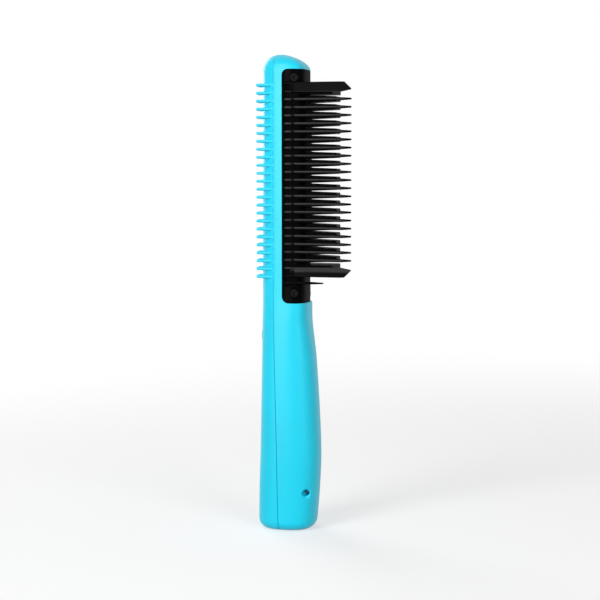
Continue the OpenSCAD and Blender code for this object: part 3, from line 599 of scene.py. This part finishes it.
# Runs a node tree once and keeps its result as a plain mesh
def grownPiece(name, tree, values):
    piece = bpy.data.objects.new(name, bpy.data.meshes.new(name))
    scene.collection.objects.link(piece)
    modifier = piece.modifiers.new("grown", "NODES")
    modifier.node_group = tree
    for item in tree.interface.items_tree:
        if item.in_out == "INPUT":
            modifier[item.identifier] = values[item.name]
    graph = bpy.context.evaluated_depsgraph_get()
    mesh = bpy.data.meshes.new_from_object(piece.evaluated_get(graph), depsgraph=graph)
    piece.modifiers.remove(modifier)
    piece.data = mesh
    mesh.name = name
    return piece


rootValues = {**bristleRoots, "Material": finishes["shell_turquoise"]}
roots = grownPiece("bristleRoots", bristleRootTree(rootValues), rootValues)
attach(roots, "housing")
print("bristle roots,", len(roots.data.polygons), "faces")

# The floor is pale grey with a faint glow, and fades to white between two distances from the
# brush, in metres. The object itself is lit by the floor without its glow, and by the world at
# the sky's level
stageLook = {"floor": 1.6, "fade": (0.25, 0.8), "pale": (0.5, 0.5, 0.5, 1), "glow": 0.52,
             "sky": 0.24}
white = (1, 1, 1, 1)


def floorMaterial(look):
    material = bpy.data.materials.new("paleFloor")
    material.use_nodes = True
    tree = material.node_tree
    tree.nodes.remove(tree.nodes["Principled BSDF"])
    wire = Wire(tree)
    place = wire.node("ShaderNodeTexCoord", out="Object")
    reach = wire.node("ShaderNodeVectorMath", {"operation": "LENGTH"}, {0: place}, out="Value")
    matt = wire.node("ShaderNodeBsdfDiffuse", sockets={"Color": look["pale"]})
    lift = wire.node("ShaderNodeEmission", sockets={"Color": white, "Strength": look["glow"]})
    near = wire.node("ShaderNodeAddShader", sockets={0: matt, 1: lift})
    far = wire.node("ShaderNodeEmission", sockets={"Color": white, "Strength": 1.0})
    shown = wire.node("ShaderNodeMixShader", sockets={0: smoothRise(wire, reach, *look["fade"]),
                                                      1: near, 2: far})
    both = wire.node("ShaderNodeMixShader", sockets={0: seenRay(wire), 1: matt, 2: shown})
    tree.links.new(both.socket, tree.nodes["Material Output"].inputs["Surface"])
    return material


# 1 for a ray that the camera, a reflection or a clear piece sends
def seenRay(wire):
    path = wire.tree.nodes.new("ShaderNodeLightPath")
    straight, mirrored, through = [Wire(wire.tree, path.outputs[kind]) for kind in
                                   ("Is Camera Ray", "Is Glossy Ray", "Is Transmission Ray")]
    return wire.maths("MAXIMUM", straight, wire.maths("MAXIMUM", mirrored, through))


def buildStage(look):
    mesh = bpy.data.meshes.new("floor")
    half = look["floor"]
    corners = [(-half, -half, 0), (half, -half, 0), (half, half, 0), (-half, half, 0)]
    mesh.from_pydata(corners, [], [(0, 1, 2, 3)])
    mesh.materials.append(floorMaterial(look))
    floor = bpy.data.objects.new("floor", mesh)
    scene.collection.objects.link(floor)


def buildWorld(level):
    scene.world = bpy.data.worlds.new("studio")
    scene.world.use_nodes = True
    wire = Wire(scene.world.node_tree)
    background = wire.tree.nodes["Background"]
    background.inputs["Color"].default_value = white
    strength = seenRay(wire) * (1 - level) + level
    wire.tree.links.new(strength.socket, background.inputs["Strength"])


# Each lamp is a softbox: its place, its width and height in metres, and its power
lamps = {
    "keyLamp": {"place": (-0.42, -1.15, 0.32), "size": (0.75, 0.55), "watts": 7},
    "fillLamp": {"place": (0.88, -0.82, 0.5), "size": (0.6, 0.6), "watts": 5.8},
    "topLamp": {"place": (-0.4, -0.86, 0.98), "size": (0.4, 0.45), "watts": 4.5},
    "rearLamp": {"place": (-0.85, 0.8, 0.5), "size": (0.7, 0.7), "watts": 7.5},
}


def hangLamps(lamps, aim):
    for name, lamp in lamps.items():
        data = bpy.data.lights.new(name, "AREA")
        data.shape = "RECTANGLE"
        data.size, data.size_y = lamp["size"]
        data.energy = lamp["watts"]
        holder = bpy.data.objects.new(name, data)
        holder.location = lamp["place"]
        holder.rotation_euler = (aim - holder.location).to_track_quat("-Z", "Y").to_euler()
        scene.collection.objects.link(holder)


buildStage(stageLook)
buildWorld(stageLook["sky"])
hangLamps(lamps, Vector(cameraView["aim"]) * mm)
print("stage and lamps ready")
